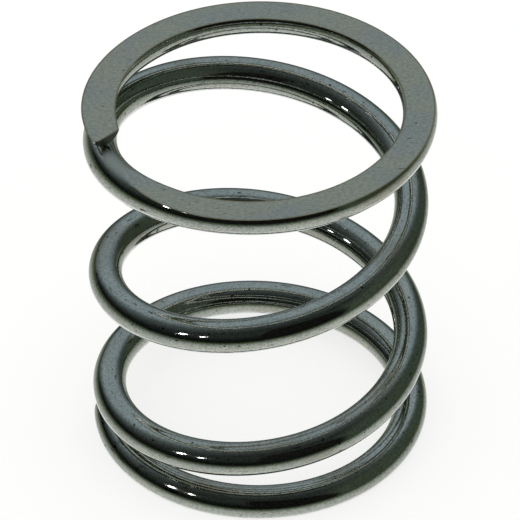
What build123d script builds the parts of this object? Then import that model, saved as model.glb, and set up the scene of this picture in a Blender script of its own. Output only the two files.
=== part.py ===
from build123d import *
import math
import os

# Cold-coiled compression spring: one piece of round steel wire, wound
# right-handed, with both end coils closed down and ground flat.
# Millimetres. The coil's axis is Z, the lower ground face lies on z = 0 and
# the wire's lower end is at -X.

# ---------------------------------------------------------------- sizes
wire_diameter = 4.0        # drawn round wire
outside_diameter = 40.0    # over the body coils
free_length = 46.0         # between the two ground faces
total_turns = 4.055        # from wire end to wire end
start_angle = 180.0        # where the lower wire end sits, degrees from +X

# the lower end coil, which opens into the body slowly
lower_seat_depth = 1.12    # from the ground face to the centre of the wire
lower_dead_turns = 0.28    # turns before the wire starts to climb
lower_ramp_turns = 1.35    # turns over which the climb reaches the full pitch

# the upper end coil, which closes down sharply and springs outwards
upper_seat_depth = 0.93
upper_dead_turns = 0.835
upper_ramp_turns = 0.12
upper_spread = 1.45        # how far this coil stands outside the body coils
spread_turns = 0.85        # turns from the wire end to its widest place
settle_turns = 0.22        # turns from there back to the body's diameter

# the wire ends, pressed onto the next coil, ground thin and cropped
tip_turns = 0.20           # length of wire that is pressed towards its neighbour
tip_clearance = 0.10       # daylight left between a wire end and the next coil
crop_length = 3.8          # slanting cut across the inner corner, along the wire
crop_depth = 1.1           # and across it
corner_radius = 1.2        # rounding of the outer corner

# ---------------------------------------------------------------- formulas
mean_radius = (outside_diameter - wire_diameter) / 2
wire_radius = wire_diameter / 2
half_turns = total_turns / 2


def climb(turns, dead, ramp):
    """Turns of full pitch gained: none at first, then a slope that grows to 1."""
    rising = max(turns - dead, 0.0)
    if rising < ramp:
        return rising * rising / (2 * ramp)
    return ramp / 2 + rising - ramp


def smooth(x):
    """Ease from 0 to 1."""
    x = min(max(x, 0.0), 1.0)
    return x * x * (3 - 2 * x)


# the pitch of the open coils follows from the free length
pitch = (free_length - lower_seat_depth - upper_seat_depth) / (
    climb(half_turns, lower_dead_turns, lower_ramp_turns)
    + climb(half_turns, upper_dead_turns, upper_ramp_turns)
)


def tip_thickness(seat, dead, ramp):
    """What is left of a wire end: it just fits under the coil one turn on."""
    next_coil = seat + pitch * climb(1.0, dead, ramp) - wire_radius
    return next_coil - tip_clearance


def depth(turns, seat, dead, ramp):
    """Distance of the wire's centre from its ground face, turns from the end."""
    lift = seat + wire_radius - tip_thickness(seat, dead, ramp)
    near_end = max(1 - turns / tip_turns, 0.0)
    return seat + pitch * climb(turns, dead, ramp) - lift * near_end ** 2


def wire_centre(turn):
    """A point on the wire's centre line, so many turns from its lower end."""
    left = total_turns - turn
    if turn < half_turns:
        z = depth(turn, lower_seat_depth, lower_dead_turns, lower_ramp_turns)
    else:
        z = free_length - depth(left, upper_seat_depth, upper_dead_turns, upper_ramp_turns)
    outwards = upper_spread * min(left / spread_turns, 1.0)
    outwards *= 1 - smooth((left - spread_turns) / settle_turns)
    radius = mean_radius + outwards
    angle = math.radians(start_angle) + 2 * math.pi * turn
    return Vector(radius * math.cos(angle), radius * math.sin(angle), z)


# ---------------------------------------------------------------- the wire
points_per_turn = 24
steps = round(total_turns * points_per_turn)
path = Spline([wire_centre(total_turns * i / steps) for i in range(steps + 1)])
wire = sweep(Plane(origin=path @ 0, z_dir=path % 0) * Circle(wire_radius), path=path)

# both ends are ground square to the axis
margin = outside_diameter
envelope = Box(2 * margin, 2 * margin, free_length, align=(Align.CENTER, Align.CENTER, Align.MIN))
spring = wire & envelope


# ---------------------------------------------------------------- the wire ends
def crop(turn, inner_side, low, high):
    """What the crop takes off one wire end, between two heights.

    The sketch looks down on the end, with the wire coming from -X to end at
    the origin and the coil's axis on the side that inner_side (1 or -1) says."""
    tip = wire_centre(turn)
    run_out = Vector(-tip.Y, tip.X, 0) * inner_side
    beyond = tip_clearance
    inner = wire_radius + crop_length ** 2 / (2 * mean_radius)
    waste = wire_radius
    with BuildSketch() as outline:
        with BuildLine():
            Polyline(
                (-crop_length, inner),
                (beyond, wire_radius - crop_depth),
                (beyond, inner + waste),
                (-crop_length, inner + waste),
                close=True,
            )
        make_face()
        with BuildLine():
            Polyline(
                (-corner_radius, -wire_radius),
                (-corner_radius, -wire_radius - waste),
                (beyond, -wire_radius - waste),
                (beyond, corner_radius - wire_radius),
                (0, corner_radius - wire_radius),
            )
            RadiusArc(
                (0, corner_radius - wire_radius),
                (-corner_radius, -wire_radius),
                corner_radius,
            )
        make_face()
    shape = outline.sketch
    if inner_side < 0:
        shape = mirror(shape, about=Plane.XZ)
    seat = Plane(origin=(tip.X, tip.Y, low), x_dir=run_out, z_dir=(0, 0, 1))
    return extrude(seat * shape, amount=high - low)


lower_tip = tip_thickness(lower_seat_depth, lower_dead_turns, lower_ramp_turns)
upper_tip = tip_thickness(upper_seat_depth, upper_dead_turns, upper_ramp_turns)
half_gap = tip_clearance / 2
spring -= crop(0, -1, -half_gap, lower_tip + half_gap)
spring -= crop(total_turns, 1, free_length - upper_tip - half_gap, free_length + half_gap)
print("solids", len(spring.solids()), "pitch", pitch, "tips", lower_tip, upper_tip)

# ---------------------------------------------------------------- output
os.makedirs("parts", exist_ok=True)
export_step(spring, "parts/coil_spring.step")
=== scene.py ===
import math

import bpy
from mathutils import Euler, Matrix, Vector


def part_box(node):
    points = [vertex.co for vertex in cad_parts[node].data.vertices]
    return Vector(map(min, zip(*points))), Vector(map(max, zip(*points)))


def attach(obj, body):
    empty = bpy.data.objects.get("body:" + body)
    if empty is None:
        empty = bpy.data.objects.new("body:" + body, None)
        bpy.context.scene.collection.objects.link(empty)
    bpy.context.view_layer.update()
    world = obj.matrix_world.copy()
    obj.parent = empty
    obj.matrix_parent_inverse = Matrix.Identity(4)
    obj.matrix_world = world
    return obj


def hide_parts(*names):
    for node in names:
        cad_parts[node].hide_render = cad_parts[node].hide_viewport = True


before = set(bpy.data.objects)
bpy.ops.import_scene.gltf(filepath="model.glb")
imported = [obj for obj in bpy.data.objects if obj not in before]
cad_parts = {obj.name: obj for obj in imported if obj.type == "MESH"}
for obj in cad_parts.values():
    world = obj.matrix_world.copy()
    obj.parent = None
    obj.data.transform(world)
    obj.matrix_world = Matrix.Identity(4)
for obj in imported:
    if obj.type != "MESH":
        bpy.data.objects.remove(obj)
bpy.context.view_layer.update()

# ---------------------------------------------------------------- the wire
# One length of 4 mm spring steel wire, coiled cold round a mandrel and closed
# down at both ends. Its path has the sizes of the CAD part, and it is drawn
# as a curve with a round bevel, a ring of points every 0.6 mm.
MM = 0.001

low_corner, high_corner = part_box("coil_spring")
lower_face = low_corner.z
upper_face = high_corner.z
free_length = upper_face - lower_face

wire_radius = 2.0 * MM
mean_radius = 18.0 * MM
total_turns = 4.055
start_angle = math.radians(180)

lower_end = {"seat": 1.12 * MM, "dead": 0.28, "ramp": 1.35}
upper_end = {"seat": 0.93 * MM, "dead": 0.835, "ramp": 0.12}
upper_spread = 1.45 * MM
spread_turns = 0.85
settle_turns = 0.22
tip_turns = 0.20
tip_clearance = 0.10 * MM

half_turns = total_turns / 2


def climb(turns, dead, ramp):
    """Turns of full pitch gained: none at first, then a slope that grows to 1."""
    rising = max(turns - dead, 0.0)
    if rising < ramp:
        return rising * rising / (2 * ramp)
    return ramp / 2 + rising - ramp


def climbed(end, turns):
    return climb(turns, end["dead"], end["ramp"])


pitch = (free_length - lower_end["seat"] - upper_end["seat"]) / (
    climbed(lower_end, half_turns) + climbed(upper_end, half_turns)
)


def tip_thickness(end):
    """What is left of a wire end: it just fits under the coil one turn on."""
    return end["seat"] + pitch * climbed(end, 1.0) - wire_radius - tip_clearance


def depth(end, turns):
    """How deep the wire's centre lies under its ground face, turns from the wire's end."""
    lift = end["seat"] + wire_radius - tip_thickness(end)
    near_end = max(1 - turns / tip_turns, 0.0)
    return end["seat"] + pitch * climbed(end, turns) - lift * near_end ** 2


def wire_centre(turn):
    """A point on the wire's centre line, so many turns from its lower end."""
    left = total_turns - turn
    if turn < half_turns:
        z = lower_face + depth(lower_end, turn)
    else:
        z = upper_face - depth(upper_end, left)
    settled = min(max((left - spread_turns) / settle_turns, 0.0), 1.0)
    outwards = upper_spread * min(left / spread_turns, 1.0)
    outwards *= 1 - settled * settled * (3 - 2 * settled)
    angle = start_angle + 2 * math.pi * turn
    radius = mean_radius + outwards
    return Vector((radius * math.cos(angle), radius * math.sin(angle), z))


rings_per_turn = 180
ring_count = round(total_turns * rings_per_turn) + 1
around_count = 48

line = bpy.data.curves.new("spring_wire", "CURVE")
line.dimensions = "3D"
line.twist_mode = "Z_UP"
line.bevel_depth = wire_radius
line.bevel_resolution = around_count // 2 - 2
line.use_fill_caps = True
spline = line.splines.new("POLY")
spline.points.add(ring_count - 1)
for i, point in enumerate(spline.points):
    point.co = (*wire_centre(total_turns * i / (ring_count - 1)), 1)
wire = bpy.data.objects.new("spring_wire", line)
bpy.context.scene.collection.objects.link(wire)
bpy.ops.object.select_all(action="DESELECT")
bpy.context.view_layer.objects.active = wire
wire.select_set(True)
bpy.ops.object.convert(target="MESH")


def select_faces(wanted):
    """Selects the wire's faces for which wanted(face) is true, and nothing else."""
    bpy.ops.object.mode_set(mode="EDIT")
    bpy.ops.mesh.select_mode(type="FACE")
    bpy.ops.mesh.select_all(action="DESELECT")
    bpy.ops.object.mode_set(mode="OBJECT")
    for face in wire.data.polygons:
        face.select = wanted(face)


def edit(operator, **settings):
    """Runs one mesh operator in edit mode, on the selected faces of the wire."""
    bpy.ops.object.mode_set(mode="EDIT")
    operator(**settings)
    bpy.ops.object.mode_set(mode="OBJECT")


select_faces(lambda face: True)
edit(bpy.ops.mesh.remove_doubles, threshold=0.001 * MM)
edit(bpy.ops.mesh.normals_make_consistent, inside=False)


# ---------------------------------------------------------------- the wire ends
# The coiler crops the wire with a blade, which leaves the end oblique, shorter
# on the inner side, and drags the outer corner round.
crop_setback = 0.70 * MM
crop_slant = math.radians(23)
corner_radius = 0.9 * MM
corner_cuts = 4


def place_on_wire(point):
    """How far along the wire a point lies, and where across it, in metres."""
    angle = (math.atan2(point.y, point.x) - start_angle) / (2 * math.pi)
    first = angle - math.floor(angle + tip_turns)
    coils = range(math.ceil(total_turns) + 1)
    turns = [first + i for i in coils if first + i < total_turns + tip_turns]
    near = min(turns, key=lambda t: (wire_centre(min(max(t, 0), total_turns)) - point).length)
    centre = wire_centre(min(max(near, 0), total_turns))
    across = math.hypot(point.x, point.y) - math.hypot(centre.x, centre.y)
    return near * 2 * math.pi * mean_radius, across, point.z - centre.z


def trim(turn, point, normal):
    """Cuts one wire end off at an upright plane and closes it."""
    tip = wire_centre(turn)
    end = turn * 2 * math.pi * mean_radius
    select_faces(lambda face: (face.center - tip).length < 4 * wire_radius
                 and abs(place_on_wire(face.center)[0] - end) < 3 * wire_radius)
    bpy.ops.object.mode_set(mode="EDIT")
    bpy.ops.mesh.select_mode(type="VERT")
    bpy.ops.mesh.bisect(plane_co=point, plane_no=normal, clear_outer=True, threshold=0.0001 * MM)
    bpy.ops.mesh.edge_face_add()
    bpy.ops.object.mode_set(mode="OBJECT")


def crop(turn, inner_side):
    """Crops one wire end. inner_side is 1 where the wire would run on
    counter-clockwise past its end, and -1 where it would run clockwise."""
    tip = wire_centre(turn)
    heading = math.atan2(tip.y, tip.x) + inner_side * math.pi / 2
    run_out = Vector((math.cos(heading), math.sin(heading), 0))
    inwards = Vector((-run_out.y, run_out.x, 0)) * inner_side

    def towards(angle):
        return run_out * math.cos(angle) + inwards * math.sin(angle)

    trim(turn, tip - run_out * crop_setback, towards(crop_slant))
    corner_y = corner_radius - wire_radius
    corner_x = -crop_setback - (corner_radius + corner_y * math.sin(crop_slant)) / math.cos(crop_slant)
    corner = tip + run_out * corner_x + inwards * corner_y
    for i in range(corner_cuts):
        angle = crop_slant - (i + 1) / (corner_cuts + 1) * (crop_slant + math.pi / 2)
        trim(turn, corner + towards(angle) * corner_radius, towards(angle))


crop(0, -1)
crop(total_turns, 1)
select_faces(lambda face: True)
edit(bpy.ops.mesh.normals_make_consistent, inside=False)

# ---------------------------------------------------------------- the ground faces
# Both end coils are ground square to the axis between two wheels, which
# leaves a dull flat. Each wheel here is a disc that takes the steel away.
wheel_radius = 30 * MM
wheel_depth = 2 * wire_radius
for centre in (upper_face + wheel_depth / 2, lower_face - wheel_depth / 2):
    bpy.ops.mesh.primitive_cylinder_add(vertices=36, radius=wheel_radius, depth=wheel_depth,
                                        end_fill_type="TRIFAN", location=(0, 0, centre))
    wheel = bpy.context.object
    cut = wire.modifiers.new("ground", "BOOLEAN")
    cut.operation = "DIFFERENCE"
    cut.object = wheel
    bpy.ops.object.select_all(action="DESELECT")
    bpy.context.view_layer.objects.active = wire
    wire.select_set(True)
    bpy.ops.object.modifier_apply(modifier=cut.name)
    bpy.data.objects.remove(wheel)

flat_tolerance = 0.001 * MM
rim_width = 0.25 * MM


def is_ground(face):
    """True for what lies in one of the two ground planes."""
    z = face.center.z
    off_plane = min(abs(z - upper_face), abs(z - lower_face))
    return abs(face.normal.z) > 0.999 and off_plane < flat_tolerance


select_faces(is_ground)
edit(bpy.ops.mesh.inset, thickness=rim_width, use_even_offset=False)
inside = {vertex for face in wire.data.polygons if face.select for vertex in face.vertices}

places = [place_on_wire(vertex.co) for vertex in wire.data.vertices]
wire.data.attributes.new("place_on_wire", "FLOAT_VECTOR", "POINT")
wire.data.attributes.new("rim", "FLOAT", "POINT")
wire.data.attributes.new("skimmed", "FLOAT", "POINT")
skim_reach = 1.2 * MM       # how far under a wheel the wire is still dulled
skim_fade = 0.4 * MM
skim_crown = 0.80           # and how far up the wire, where 1 is its crown
skim_crown_fade = 0.12
rim_crown = 0.97            # the stain stops where the flat runs out at the crown
rim_crown_fade = 0.25
for i, place in enumerate(places):
    z = wire.data.vertices[i].co.z
    crown = abs(place[2]) / wire_radius
    close = skim_reach - min(upper_face - z, z - lower_face)
    under_wheel = min(max(close / skim_fade, 0.0), 1.0)
    on_crown = min(max((crown - skim_crown) / skim_crown_fade, 0.0), 1.0)
    wire.data.attributes["skimmed"].data[i].value = under_wheel * on_crown
    wire.data.attributes["place_on_wire"].data[i].vector = place
    steepness = min(max((rim_crown - crown) / rim_crown_fade, 0.0), 1.0)
    wire.data.attributes["rim"].data[i].value = 0.0 if i in inside else steepness


# ---------------------------------------------------------------- finishes
def hex_colour(text):
    """An sRGB hex colour as linear RGBA."""
    values = [int(text[i:i + 2], 16) / 255 for i in (1, 3, 5)]
    return [v / 12.92 if v <= 0.04045 else ((v + 0.055) / 1.055) ** 2.4 for v in values] + [1.0]


def add(tree, kind, settings=None, **links):
    """Adds one node, with its settings by attribute or socket name, and its links by socket."""
    node = tree.nodes.new(kind)
    for name, value in (settings or {}).items():
        if hasattr(node, name):
            setattr(node, name, value)
        else:
            node.inputs[int(name) if name.isdigit() else name].default_value = value
    for name, source in links.items():
        key = name.replace("_", " ")
        socket = node.inputs[int(key[2:])] if key.startswith("in") and key[2:].isdigit() else node.inputs[key]
        tree.links.new(source, socket)
    return node


def new_material(name):
    material = bpy.data.materials.new(name)
    material.use_nodes = True
    material.node_tree.nodes.clear()
    return material, material.node_tree


in_colour = {"data_type": "RGBA"}
smooth = {"interpolation_type": "SMOOTHSTEP"}

# Bright zinc plating on drawn steel wire: a mirror with a faint blue-green cast,
# fine draw lines along the wire, a grain of small pits, and handling marks.
plated, tree = new_material("zinc_plated_drawn_wire")
wire_place = add(tree, "ShaderNodeAttribute", {"attribute_name": "place_on_wire"})

# how many millimetres each pattern is long and wide, following the wire
wire_noise = {}
for name, along, across, detail in (
    ("grain", 0.30, 0.24, 2.0),
    ("draw_lines", 14.0, 0.30, 2.0),
    ("clouds", 9.0, 2.5, 3.0),
    ("pits", 0.8, 0.6, 1.0),
    ("marks", 2.5, 0.5, 2.0),
    ("tarnish", 12.0, 4.0, 4.0),
):
    scale = (1000 / along, 1000 / across, 1000 / across)
    grain_place = add(tree, "ShaderNodeMapping", {"Scale": scale}, Vector=wire_place.outputs["Vector"])
    noise = add(tree, "ShaderNodeTexNoise", {"Scale": 1.0, "Detail": detail}, Vector=grain_place.outputs[0])
    wire_noise[name] = noise.outputs["Fac"]

cloudy = add(tree, "ShaderNodeMapRange", {"From Min": 0.35, "From Max": 0.65}, Value=wire_noise["clouds"])
colour = add(tree, "ShaderNodeMix", {**in_colour, "6": hex_colour("#D2D5CF"), "7": hex_colour("#C4CAC8")},
             in0=cloudy.outputs[0])
for name, low, high, most, shade in (
    ("tarnish", 0.52, 0.68, 0.55, "#A39C8C"),
    ("grain", 0.44, 0.62, 0.45, "#8A8B82"),
    ("marks", 0.67, 0.73, 0.7, "#4A4842"),
    ("pits", 0.735, 0.755, 0.9, "#24241F"),
):
    spots = add(tree, "ShaderNodeMapRange", {"From Min": low, "From Max": high, "To Max": most},
                Value=wire_noise[name])
    colour = add(tree, "ShaderNodeMix", {**in_colour, "7": hex_colour(shade)}, in0=spots.outputs[0],
                 in6=colour.outputs[2])
roughness = add(tree, "ShaderNodeMapRange",
                {"From Min": 0.45, "From Max": 0.70, "To Min": 0.05, "To Max": 0.12},
                Value=wire_noise["tarnish"])

# where the wheel has only just skimmed the wire it is dull, with a ragged edge
near_face = add(tree, "ShaderNodeAttribute", {"attribute_name": "skimmed"})
ragged = add(tree, "ShaderNodeMath", {"operation": "MULTIPLY_ADD", "1": 1.2}, in0=wire_noise["marks"],
             in2=near_face.outputs["Fac"])
skim = add(tree, "ShaderNodeMapRange", {"From Min": 0.95, "From Max": 1.25}, Value=ragged.outputs[0])
colour = add(tree, "ShaderNodeMix", {**in_colour, "7": hex_colour("#B6BAB2")}, in0=skim.outputs[0],
             in6=colour.outputs[2])
roughness = add(tree, "ShaderNodeMix", {"3": 0.36}, in0=skim.outputs[0], in2=roughness.outputs[0])
relief = add(tree, "ShaderNodeMath", {"operation": "MULTIPLY_ADD", "1": 0.6}, in0=wire_noise["draw_lines"],
             in2=wire_noise["grain"])
bump = add(tree, "ShaderNodeBump", {"Strength": 0.22, "Distance": 0.02 * MM}, Height=relief.outputs[0])
shader = add(tree, "ShaderNodeBsdfPrincipled", {"Metallic": 1.0}, Base_Color=colour.outputs[2],
             Roughness=roughness.outputs[0], Normal=bump.outputs[0])
add(tree, "ShaderNodeOutputMaterial", Surface=shader.outputs[0])

# Ground steel: bare metal from the wheel, dull and grey, with a straight fine
# lay, pale and dark specks, a few scratches, and a rim stained olive brown.
ground, tree = new_material("ground_steel_face")
where = add(tree, "ShaderNodeTexCoord")

# how many millimetres each pattern is long and wide, lying across the face
face_noise = {}
for name, along, across, detail in (
    ("lay", 1.4, 0.22, 3.0),
    ("clouds", 7.0, 5.0, 3.0),
    ("grain", 0.5, 0.3, 2.0),
    ("pale_specks", 0.4, 0.3, 1.0),
    ("dark_specks", 1.0, 0.35, 2.0),
    ("scratches", 2.6, 0.2, 1.0),
):
    grain_place = add(tree, "ShaderNodeMapping", {"Scale": (1000 / along, 1000 / across, 1000)},
                      Vector=where.outputs["Object"])
    noise = add(tree, "ShaderNodeTexNoise", {"Scale": 1.0, "Detail": detail}, Vector=grain_place.outputs[0])
    face_noise[name] = noise.outputs["Fac"]

cloudy = add(tree, "ShaderNodeMapRange", {"From Min": 0.42, "From Max": 0.60}, Value=face_noise["clouds"])
colour = add(tree, "ShaderNodeMix", {**in_colour, "6": hex_colour("#C4C4B4"), "7": hex_colour("#BBBEB9")},
             in0=cloudy.outputs[0])
for name, low, high, most, shade in (
    ("grain", 0.44, 0.64, 0.4, "#8F9186"),
    ("pale_specks", 0.58, 0.68, 0.45, "#DBDED4"),
    ("dark_specks", 0.69, 0.74, 0.8, "#3E3D37"),
    ("scratches", 0.70, 0.73, 0.5, "#55554D"),
):
    spots = add(tree, "ShaderNodeMapRange", {"From Min": low, "From Max": high, "To Max": most},
                Value=face_noise[name])
    colour = add(tree, "ShaderNodeMix", {**in_colour, "7": hex_colour(shade)}, in0=spots.outputs[0],
                 in6=colour.outputs[2])
rim_fade = add(tree, "ShaderNodeAttribute", {"attribute_name": "rim"})
colour = add(tree, "ShaderNodeMix", {**in_colour, "7": hex_colour("#857645")},
             in0=rim_fade.outputs["Fac"], in6=colour.outputs[2])
bump = add(tree, "ShaderNodeBump", {"Strength": 0.5, "Distance": 0.02 * MM}, Height=face_noise["lay"])
shader = add(tree, "ShaderNodeBsdfPrincipled", {"Metallic": 1.0, "Roughness": 0.38},
             Base_Color=colour.outputs[2], Normal=bump.outputs[0])
add(tree, "ShaderNodeOutputMaterial", Surface=shader.outputs[0])

# Cropped steel: torn across by the blade, so it is rough; its dark colour is partly the torn steel and partly
# painted shade of the end face.
cropped, tree = new_material("cropped_steel_end")
where = add(tree, "ShaderNodeTexCoord")
tear = add(tree, "ShaderNodeTexNoise", {"Scale": 1000 / 0.4, "Detail": 4.0}, Vector=where.outputs["Object"])
bump = add(tree, "ShaderNodeBump", {"Strength": 0.6, "Distance": 0.1 * MM}, Height=tear.outputs["Fac"])
shader = add(tree, "ShaderNodeBsdfPrincipled",
             {"Metallic": 1.0, "Roughness": 0.5, "Base Color": hex_colour("#5E605B")}, Normal=bump.outputs[0])
add(tree, "ShaderNodeOutputMaterial", Surface=shader.outputs[0])

for material in (plated, ground, cropped):
    wire.data.materials.append(material)
end_face_area = 0.5 * MM ** 2
for face in wire.data.polygons:
    if is_ground(face):
        face.material_index = 1
    elif face.area > end_face_area:
        face.material_index = 2
bpy.ops.object.shade_smooth_by_angle(angle=math.radians(35))

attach(wire, "root")
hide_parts("coil_spring")

# ---------------------------------------------------------------- floor and studio
# A white table under the spring in plain white light. The metal does not mirror
# that table but a room set by direction in the world: a grey wall behind, lit
# from above, dark in front, and a pale table top below.
bpy.ops.mesh.primitive_circle_add(vertices=96, radius=2.0, fill_type="NGON", location=(0, 0, lower_face))
floor = bpy.context.object
floor.name = "table"
white, tree = new_material("white_table")
rays = add(tree, "ShaderNodeLightPath")
tone = add(tree, "ShaderNodeMix", {**in_colour, "6": hex_colour("#F8F8F3"), "7": hex_colour("#8E8E8B")},
           in0=rays.outputs["Is Camera Ray"])
diffuse = add(tree, "ShaderNodeBsdfDiffuse", Color=tone.outputs[2])
glow = add(tree, "ShaderNodeEmission", {"Color": hex_colour("#FFFFFF")})
glow_strength = add(tree, "ShaderNodeMath", {"operation": "MULTIPLY", "1": 0.745},
                    in0=rays.outputs["Is Camera Ray"])
tree.links.new(glow_strength.outputs[0], glow.inputs["Strength"])
both = add(tree, "ShaderNodeAddShader", in0=diffuse.outputs[0], in1=glow.outputs[0])
clear = add(tree, "ShaderNodeBsdfTransparent")
surface = add(tree, "ShaderNodeMixShader", in0=rays.outputs["Is Glossy Ray"], in1=both.outputs[0],
              in2=clear.outputs[0])
add(tree, "ShaderNodeOutputMaterial", Surface=surface.outputs[0])
floor.data.materials.append(white)

world = bpy.data.worlds.new("studio")
bpy.context.scene.world = world
world.use_nodes = True
tree = world.node_tree
tree.nodes.clear()
where = add(tree, "ShaderNodeTexCoord")
rays = add(tree, "ShaderNodeLightPath")
parts = add(tree, "ShaderNodeSeparateXYZ", Vector=where.outputs["Generated"])
x, y, z = parts.outputs

# the grey wall, brightest behind the spring and half-way up
wall_middle = (-0.08, 0.74, 0.67)
nearness = add(tree, "ShaderNodeVectorMath", {"operation": "DOT_PRODUCT", "1": wall_middle},
               in0=where.outputs["Generated"])
wall = add(tree, "ShaderNodeValToRGB", in0=nearness.outputs["Value"])
wall_shades = ((0.20, "#2B312E"), (0.55, "#474F4E"), (0.70, "#5D6667"), (0.80, "#7B868A"), (0.90, "#98A4A9"))

# low on both sides and in front it is nearly black
sideways = add(tree, "ShaderNodeMath", {"operation": "ABSOLUTE"}, in0=x)
off_side = add(tree, "ShaderNodeMapRange", {**smooth, "From Min": 0.45, "From Max": 0.72},
               Value=sideways.outputs[0])
in_front = add(tree, "ShaderNodeMapRange", {**smooth, "From Min": 0.3, "From Max": 0.0},
               Value=y)
beside = add(tree, "ShaderNodeMath", {"operation": "MAXIMUM"}, in0=off_side.outputs[0],
             in1=in_front.outputs[0])
low_down = add(tree, "ShaderNodeMapRange", {**smooth, "From Min": 0.55, "From Max": 0.05},
               Value=z)
gloom = add(tree, "ShaderNodeMath", {"operation": "MULTIPLY"}, in0=beside.outputs[0], in1=low_down.outputs[0])
dim = add(tree, "ShaderNodeMix", {**in_colour, "7": hex_colour("#131613")}, in0=gloom.outputs[0],
          in6=wall.outputs[0])

# a dark green wall on the right
right_side = add(tree, "ShaderNodeMapRange", {**smooth, "From Min": 0.38, "From Max": 0.80},
                 Value=x)
green = add(tree, "ShaderNodeMix", {**in_colour, "7": hex_colour("#454F42")}, in0=right_side.outputs[0],
            in6=dim.outputs[2])

# and a black curtain in front, from the middle to the right
ahead = add(tree, "ShaderNodeMapRange", {**smooth, "From Min": -0.62, "From Max": -0.72},
            Value=y)
not_left = add(tree, "ShaderNodeMapRange", {**smooth, "From Min": -0.30, "From Max": 0.0},
               Value=x)
folds = add(tree, "ShaderNodeTexNoise", {"Scale": 7.0, "Detail": 4.0}, Vector=where.outputs["Generated"])
ragged = add(tree, "ShaderNodeMath", {"operation": "MULTIPLY_ADD", "1": 0.6}, in0=folds.outputs["Fac"],
             in2=not_left.outputs[0])
not_left = add(tree, "ShaderNodeMapRange", {"From Min": 0.75, "From Max": 0.95}, Value=ragged.outputs[0])
curtain_place = add(tree, "ShaderNodeMath", {"operation": "MULTIPLY"}, in0=ahead.outputs[0],
                    in1=not_left.outputs[0])
room = add(tree, "ShaderNodeMix", {**in_colour, "7": hex_colour("#151513")}, in0=curtain_place.outputs[0],
           in6=green.outputs[2])

# the pale table top, which starts lower straight behind and is whitest there
behind = add(tree, "ShaderNodeMapRange", {**smooth, "From Min": 0.45, "From Max": 0.05, "To Max": 0.45},
             Value=sideways.outputs[0])
rear = add(tree, "ShaderNodeMath", {"operation": "GREATER_THAN", "1": 0.0}, in0=y)
height = add(tree, "ShaderNodeMath", {"operation": "MULTIPLY_ADD"}, in0=behind.outputs[0],
             in1=rear.outputs[0], in2=z)
tilted = add(tree, "ShaderNodeMath", {"operation": "MULTIPLY_ADD", "1": -0.12}, in0=y, in2=height.outputs[0])
down = add(tree, "ShaderNodeMath", {"operation": "MULTIPLY", "1": -1.0}, in0=tilted.outputs[0])
table = add(tree, "ShaderNodeValToRGB", in0=down.outputs[0])
table_shades = ((0.10, "#3F4838"), (0.20, "#565F4C"), (0.30, "#828A7C"), (0.40, "#A0A69D"), (0.60, "#C5C7C1"),
                (0.87, "#D4D5CD"), (1.0, "#E7E9E4"))
for ramp, shades in ((wall.color_ramp, wall_shades), (table.color_ramp, table_shades)):
    while len(ramp.elements) < len(shades):
        ramp.elements.new(0.5)
    for element, (place, shade) in zip(ramp.elements, shades):
        element.position = place
        element.color = hex_colour(shade)
under = add(tree, "ShaderNodeMapRange", {**smooth, "From Min": 0.03, "From Max": 0.10},
            Value=down.outputs[0])
facing = add(tree, "ShaderNodeVectorMath", {"operation": "DOT_PRODUCT", "1": (0, 0.5, -0.87)},
             in0=where.outputs["Generated"])
far_back = add(tree, "ShaderNodeMapRange", {**smooth, "From Min": 0.84, "From Max": 0.93},
               Value=facing.outputs["Value"])
pale = add(tree, "ShaderNodeMix", {**in_colour, "7": hex_colour("#FFFFFF")}, in0=far_back.outputs[0],
           in6=table.outputs[0])
mirrored = add(tree, "ShaderNodeMix", in_colour, in0=under.outputs[0], in6=room.outputs[2],
               in7=pale.outputs[2])
plain = add(tree, "ShaderNodeMix", {**in_colour, "6": (1, 1, 1, 1)},
            in0=rays.outputs["Is Glossy Ray"], in7=mirrored.outputs[2])
background = add(tree, "ShaderNodeBackground", {"Strength": 1.0}, Color=plain.outputs[2])
add(tree, "ShaderNodeOutputWorld", Surface=background.outputs[0])


def lamp(name, azimuth, elevation, distance, width, height, power):
    """An upright soft lamp aimed at the spring. Azimuth is counter-clockwise from +X."""
    data = bpy.data.lights.new(name, "AREA")
    data.shape = "RECTANGLE"
    data.size = width
    data.size_y = height
    data.energy = power
    light = bpy.data.objects.new(name, data)
    bpy.context.scene.collection.objects.link(light)
    direction = Vector((
        math.cos(math.radians(azimuth)) * math.cos(math.radians(elevation)),
        math.sin(math.radians(azimuth)) * math.cos(math.radians(elevation)),
        math.sin(math.radians(elevation)),
    ))
    light.location = direction * distance
    light.rotation_euler = direction.to_track_quat("Z", "Y").to_euler()


lamp("lamp_left", 209.5, 25, 0.6, 0.035, 0.08, 0.08)
lamp("lamp_front", 224, 25, 0.6, 0.025, 0.05, 0.035)

# ---------------------------------------------------------------- camera
elevation = math.radians(39.06)
roll = math.radians(-0.95)
distance = 0.657
target = Vector((0, 0, lower_face + free_length / 2))

camera_data = bpy.data.cameras.new("camera")
camera_data.sensor_width = 36
camera_data.lens = 386.5
camera_data.shift_x = 0.0036
camera_data.shift_y = 0.0023
camera = bpy.data.objects.new("camera", camera_data)
bpy.context.scene.collection.objects.link(camera)
bpy.context.scene.camera = camera
back = Vector((0, -math.cos(elevation), math.sin(elevation)))
turned = Euler((math.pi / 2 - elevation, 0, 0)).to_matrix() @ Euler((0, 0, roll)).to_matrix()
camera.matrix_world = Matrix.Translation(target + distance * back) @ turned.to_4x4()

bpy.context.scene.view_settings.view_transform = "Standard"
